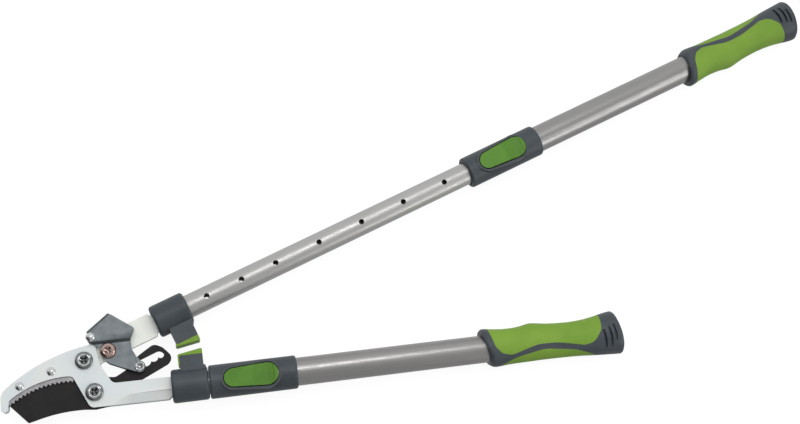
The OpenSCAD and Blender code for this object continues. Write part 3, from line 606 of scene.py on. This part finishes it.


# Painted shade in recesses, on cut edges, on the yoke's ramp and in the buttons' grooves

# How far a face's normal leans along Z: less than SIDE_LEAN on the side of a plate, more than
# FRONT_LEAN on a front, and between RAMP_LEAN and FRONT_LEAN on the yoke's ramp.
SIDE_LEAN = 0.3
RAMP_LEAN = 0.8
FRONT_LEAN = 0.95
# The ramp's faces are larger than this, in square metres, and those of a rounded edge smaller.
RAMP_AREA = 1e-5
# The collar's window round a button, whose walls get painted shade: its half width, how high over the
# handle's axis it starts, how far it passes the button's ends, and how much its walls may lean.
WINDOW_HALF_WIDTH = 0.0118
WINDOW_FOOT = 0.0125
WINDOW_MARGIN = 0.001
WINDOW_LEAN = 0.4
# The hollow in a button's wide end, which gets painted shade, from the button's start and from its end.
HOLLOW_START = 0.0295
HOLLOW_RIM = 0.003
# The crease in the front jaw plate's arm: where it rises and is whole along the arm, how low it
# runs, and over which width the painted shade on the strip below it fades.
CREASE_START = 0.016
CREASE_WHOLE = 0.034
CREASE_Y = -0.0057
CREASE_BLUR = 0.0005
# Where the handles' axes start.
HANDLE_START = {"lower": (0, -0.00332, 0), "upper": (-0.00896, 0.034538, 0)}


def mark(bm, dark, chosen):
    """Gives the corners of the chosen faces a shade value."""
    shade = shade_layer(bm)
    bm.normal_update()
    for face in bm.faces:
        if chosen(face):
            for vert in face.verts:
                vert[shade] = dark


def handle_frame(name):
    """From the part's frame to the frame of a piece's handle, whose axis is X."""
    handle = name[:5]
    place = Matrix.Translation(HANDLE_START[handle]) @ Matrix.Rotation(handle_turn(handle), 4, "Z")
    return place.inverted()


def button_span(name):
    """From where to where the button of a piece's handle reaches along the handle's axis."""
    return span(name[:5] + "_button", handle_frame(name), 0)


def in_window(name):
    """Tells whether a face is a wall of the collar's window round the button."""
    into = handle_frame(name)
    start, end = button_span(name)

    def test(face):
        place = into @ face.calc_center_median()
        return (abs(face.normal.z) < WINDOW_LEAN and abs(place.y) < WINDOW_HALF_WIDTH
                and place.z > WINDOW_FOOT and start - WINDOW_MARGIN < place.x < end + WINDOW_MARGIN)
    return test


def in_hollow(name):
    """Tells whether a face lies in the hollow of a button's wide end."""
    into = handle_frame(name)
    start, end = button_span(name)

    def test(face):
        place = into @ face.calc_center_median()
        return face.normal.z > 0.5 and start + HOLLOW_START < place.x < end - HOLLOW_RIM
    return test


def side_face(face):
    return abs(face.normal.z) < SIDE_LEAN


def looks_forward(face):
    return face.normal.z > FRONT_LEAN


def below_crease(face):
    """Tells whether a face is part of the strip below the crease in the jaw's arm."""
    place = face.calc_center_median()
    return looks_forward(face) and place.x > CREASE_WHOLE and place.y < CREASE_Y


def yoke_ramp(face):
    """Tells whether a face is the ramp between the yoke's two levels, and not a rounded edge."""
    return RAMP_LEAN < face.normal.z < FRONT_LEAN and face.calc_area() > RAMP_AREA


def yoke_upper_left(face):
    """Tells whether a face is a cut edge at the yoke's upper left."""
    return side_face(face) and face.normal.x < -SIDE_LEAN and face.normal.y > SIDE_LEAN


def cut_front(bm, place, across):
    """Cuts the faces that look forward along a plane, so that a shade can end there."""
    front = [face for face in bm.faces if looks_forward(face)]
    parts = set(front)
    for face in front:
        parts.update(face.edges, face.verts)
    bmesh.ops.bisect_plane(bm, geom=list(parts), plane_co=place, plane_no=across)


def shade_recesses(bm, name):
    """Paints shade on the plates' cut edges, the strip below the crease, the yoke's ramp and its upper
    left edge, the walls of the windows, and the hollows and sides of the buttons."""
    if name in ("jaw_front", "jaw_rear", "upper_arm"):
        # The plates' cut edges get painted shade, a dark outline.
        mark(bm, 0.5, side_face)
    if name == "jaw_front":
        for x in (CREASE_START, CREASE_WHOLE):
            cut_front(bm, (x, 0, 0), (1, 0, 0))
        for y in (CREASE_Y, CREASE_Y + CREASE_BLUR):
            cut_front(bm, (0, y, 0), (0, 1, 0))
        # The strip below the crease gets painted shade, as if shaded by the ridge.
        mark(bm, 0.26, below_crease)
    if name == "yoke":
        # The yoke's ramp and its upper left edge get painted shade, as faces turned from the light.
        mark(bm, 0.55, yoke_ramp)
        mark(bm, 0.6, yoke_upper_left)
    if name.endswith("lock_collar"):
        # Painted shade in the groove round each button, and faintly in the button's hollow.
        mark(bm, 1, in_window(name))
    if name.endswith("button"):
        mark(bm, 0.09, in_hollow(name))
        mark(bm, 1, side_face)


# Rounded copies of the solids

# How wide each solid's edges are rounded, in millimetres.
EDGE_ROUNDING = {
    "jaw_front": 0.35, "jaw_rear": 0.35, "blade": 0.2, "upper_arm": 0.3, "yoke": 0.3,
    "lower_bumper": 0.8, "upper_bumper": 0.8, "lower_buffer": 0.6, "upper_buffer": 0.6,
    "lower_lock_collar": 0.5, "upper_lock_collar": 0.5, "pivot_nuts": 0.3, "pawl_nut": 0.3,
    "lower_outer_tube": 0.3, "upper_outer_tube": 0.3, "lower_button": 0.7, "upper_button": 0.7,
}
# Edges sharper than this many degrees are rounded.
ROUND_FROM = {"yoke": 20, "lower_button": 60, "upper_button": 60}
ROUND_FROM_OTHERS = 32
# How much of its length and width a button keeps.
BUTTON_SHARE = (0.98, 0.948)


def round_edges(bm, angle, width):
    """Rounds the edges at which faces meet at more than an angle in degrees."""
    edges = [edge for edge in bm.edges
             if len(edge.link_faces) == 2 and edge.calc_face_angle(0) > math.radians(angle)]
    bmesh.ops.bevel(bm, geom=edges, offset=width, offset_type="OFFSET", segments=2, profile=0.5,
                    affect="EDGES", clamp_overlap=True, material=-1, loop_slide=True)


def narrow(bm, name):
    """Draws a button's sides in, which widens the groove round it."""
    into = handle_frame(name)
    middle = Matrix.Translation((sum(button_span(name)) / 2, 0, 0))
    shrink = into.inverted() @ middle @ Matrix.Diagonal((*BUTTON_SHARE, 1, 1)) @ middle.inverted() @ into
    bmesh.ops.transform(bm, matrix=shrink, verts=bm.verts)


def round_solids(finishes):
    for name, width in EDGE_ROUNDING.items():
        bm = merged(name)
        if name.endswith("button"):
            narrow(bm, name)
        round_edges(bm, ROUND_FROM.get(name, ROUND_FROM_OTHERS), width / 1000)
        shade_recesses(bm, name)
        set_piece(bm, name + "_piece", name, finishes[finish_of(name)])


def smooth_grips(finishes):
    for name in ("lower_grip", "lower_grip_panels", "upper_grip", "upper_grip_panels"):
        set_piece(merged(name), name + "_skin", name, finishes[finish_of(name)], keep_sharp=38)


place_camera()
build_studio()
finishes = build_finishes()
dress_solids(finishes)
round_solids(finishes)
make_screws(finishes)
smooth_grips(finishes)
